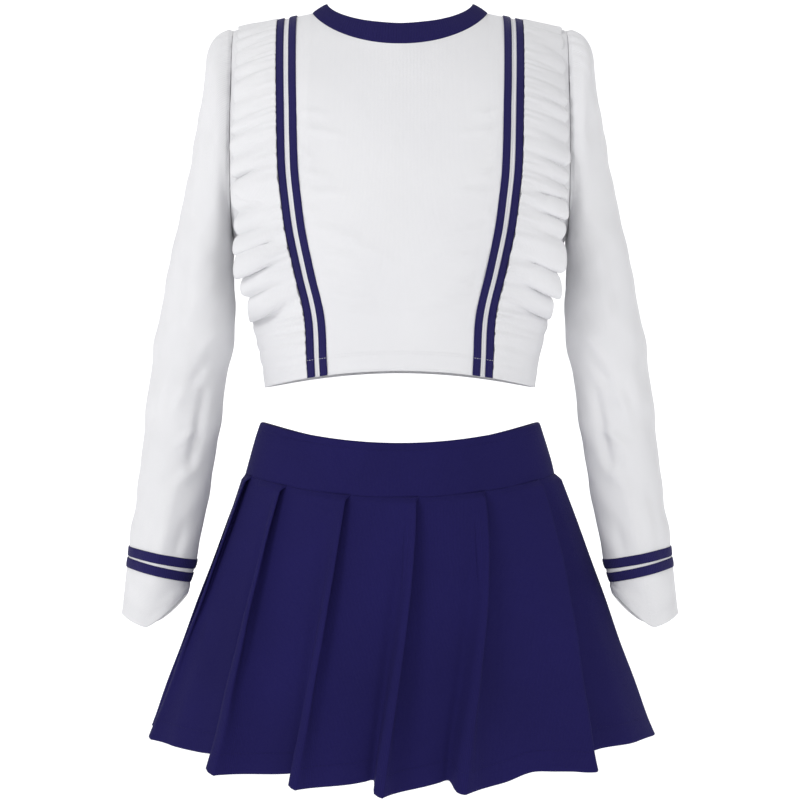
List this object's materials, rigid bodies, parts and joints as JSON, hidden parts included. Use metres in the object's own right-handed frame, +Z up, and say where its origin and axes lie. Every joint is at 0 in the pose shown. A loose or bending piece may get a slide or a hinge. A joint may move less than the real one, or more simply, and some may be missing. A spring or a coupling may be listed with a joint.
{
  "type": "cheer uniform",
  "caption": "Cropped long-sleeved top with gathered side ruffles and paired tapes, and a pleated flared skirt with a fitted waistband and back zip.",
  "frame": {"origin": "middle of the skirt's waist opening, level with the waistband's top edge at the sides", "axes": "+Z up; the wearer faces -Y; +X is the wearer's left"},
  "size_m": [0.5552, 0.4136, 0.7707],
  "materials": {
    "white_knit": "matte double-knit polyester",
    "ruffle_knit": "matte gathered knit",
    "navy_tape": "flat woven trim",
    "navy_rib": "fine rib knit",
    "navy_knit": "matte double-knit polyester",
    "skirt_knit": "matte double-knit polyester",
    "zip_coil": "smooth nylon coil",
    "zip_tape": "herringbone tape",
    "painted_metal": "satin enamel",
    "bright_metal": "plated"
  },
  "bodies": {
    "skirt": {"waistband_front": "navy_knit", "waistband_facing_front": "navy_knit", "skirt_front": "skirt_knit", "waistband_back_left": "navy_knit", "waistband_facing_back_left": "navy_knit", "skirt_back_left": "skirt_knit", "waistband_back_right": "navy_knit", "waistband_facing_back_right": "navy_knit", "skirt_back_right": "skirt_knit", "zip_coil_left": "zip_coil", "zip_tape_left": "zip_tape", "zip_top_stop_left": "bright_metal", "zip_coil_right": "zip_coil", "zip_tape_right": "zip_tape", "zip_top_stop_right": "bright_metal", "zip_bottom_stop": "bright_metal", "waist_bar": "bright_metal", "waist_hook": "bright_metal"},
    "top": {"front_centre_panel": "white_knit", "back_centre_panel": "white_knit", "left_front_side_panel": "white_knit", "left_back_side_panel": "white_knit", "right_front_side_panel": "white_knit", "right_back_side_panel": "white_knit", "left_ruffle": "ruffle_knit", "right_ruffle": "ruffle_knit", "left_inner_tape": "navy_tape", "left_outer_tape": "navy_tape", "right_inner_tape": "navy_tape", "right_outer_tape": "navy_tape", "neck_band": "navy_rib"},
    "left_sleeve": {"left_sleeve": "white_knit", "left_upper_cuff_tape": "navy_tape", "left_lower_cuff_tape": "navy_tape"},
    "right_sleeve": {"right_sleeve": "white_knit", "right_upper_cuff_tape": "navy_tape", "right_lower_cuff_tape": "navy_tape"},
    "zip_slider": {"zip_slider": "painted_metal"},
    "zip_pull": {"zip_pull": "painted_metal"}
  },
  "joints": [
    {"name": "top_lift", "type": "slide", "parent": "skirt", "child": "top", "axis": [0, 0, 1], "range_m": [0, 0.45]},
    {"name": "left_sleeve_swing", "type": "hinge", "parent": "top", "child": "left_sleeve", "pos_m": [0.1664, 0, 0.3], "axis": [-1, 0, 0], "range_deg": [-30, 60]},
    {"name": "right_sleeve_swing", "type": "hinge", "parent": "top", "child": "right_sleeve", "pos_m": [-0.1664, 0, 0.3], "axis": [-1, 0, 0], "range_deg": [-30, 60]},
    {"name": "zip_slide", "type": "slide", "parent": "skirt", "child": "zip_slider", "axis": [0, 0.3177, -0.9482], "range_m": [0, 0.15]},
    {"name": "zip_pull_swing", "type": "hinge", "parent": "zip_slider", "child": "zip_pull", "pos_m": [0, 0.10336, -0.0424], "axis": [1, 0, 0], "range_deg": [0, 150]}
  ]
}
